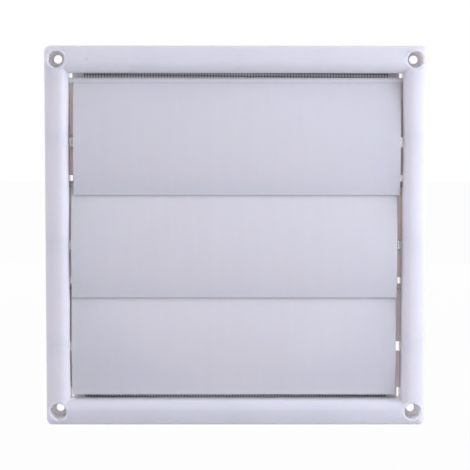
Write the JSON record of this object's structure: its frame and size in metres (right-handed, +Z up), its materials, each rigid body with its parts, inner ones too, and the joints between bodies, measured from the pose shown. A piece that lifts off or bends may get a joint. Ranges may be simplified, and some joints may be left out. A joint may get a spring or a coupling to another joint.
{
  "type": "louvred vent grille",
  "caption": "Square wall vent grille with outward-opening gravity flaps, an insect screen behind them and a round spigot for the duct.",
  "frame": {"origin": "centre of the four screw holes, on the plane of the wall that the frame is screwed to", "axes": "+Y into the wall and along the duct, so the front faces -Y; +Z up, with the flap pivots along X"},
  "size_m": [0.187, 0.046, 0.187],
  "materials": {
    "frame_plastic": "satin white moulded plastic",
    "flap_plastic": "satin white moulded plastic with a fine upright grain",
    "screen_weave": "charcoal coated glass-fibre insect screen",
    "spigot_plastic": "satin white moulded plastic"
  },
  "bodies": {
    "frame": {"frame": "frame_plastic", "insect_screen": "screen_weave", "duct_spigot": "spigot_plastic"},
    "flap_top": {"flap_top": "flap_plastic"},
    "flap_middle": {"flap_middle": "flap_plastic"},
    "flap_bottom": {"flap_bottom": "flap_plastic"}
  },
  "joints": [
    {"name": "top_flap_pivot", "type": "hinge", "parent": "frame", "child": "flap_top", "pos_m": [0, -0.007, 0.0763], "axis": [-1, 0, 0], "range_deg": [0, 85]},
    {"name": "middle_flap_pivot", "type": "hinge", "parent": "frame", "child": "flap_middle", "pos_m": [0, -0.007, 0.0255], "axis": [-1, 0, 0], "range_deg": [0, 85]},
    {"name": "bottom_flap_pivot", "type": "hinge", "parent": "frame", "child": "flap_bottom", "pos_m": [0, -0.007, -0.0253], "axis": [-1, 0, 0], "range_deg": [0, 85]}
  ],
  "couplings": [
    {"joint": "middle_flap_pivot", "follows": "top_flap_pivot", "ratio": 1},
    {"joint": "bottom_flap_pivot", "follows": "top_flap_pivot", "ratio": 1}
  ]
}
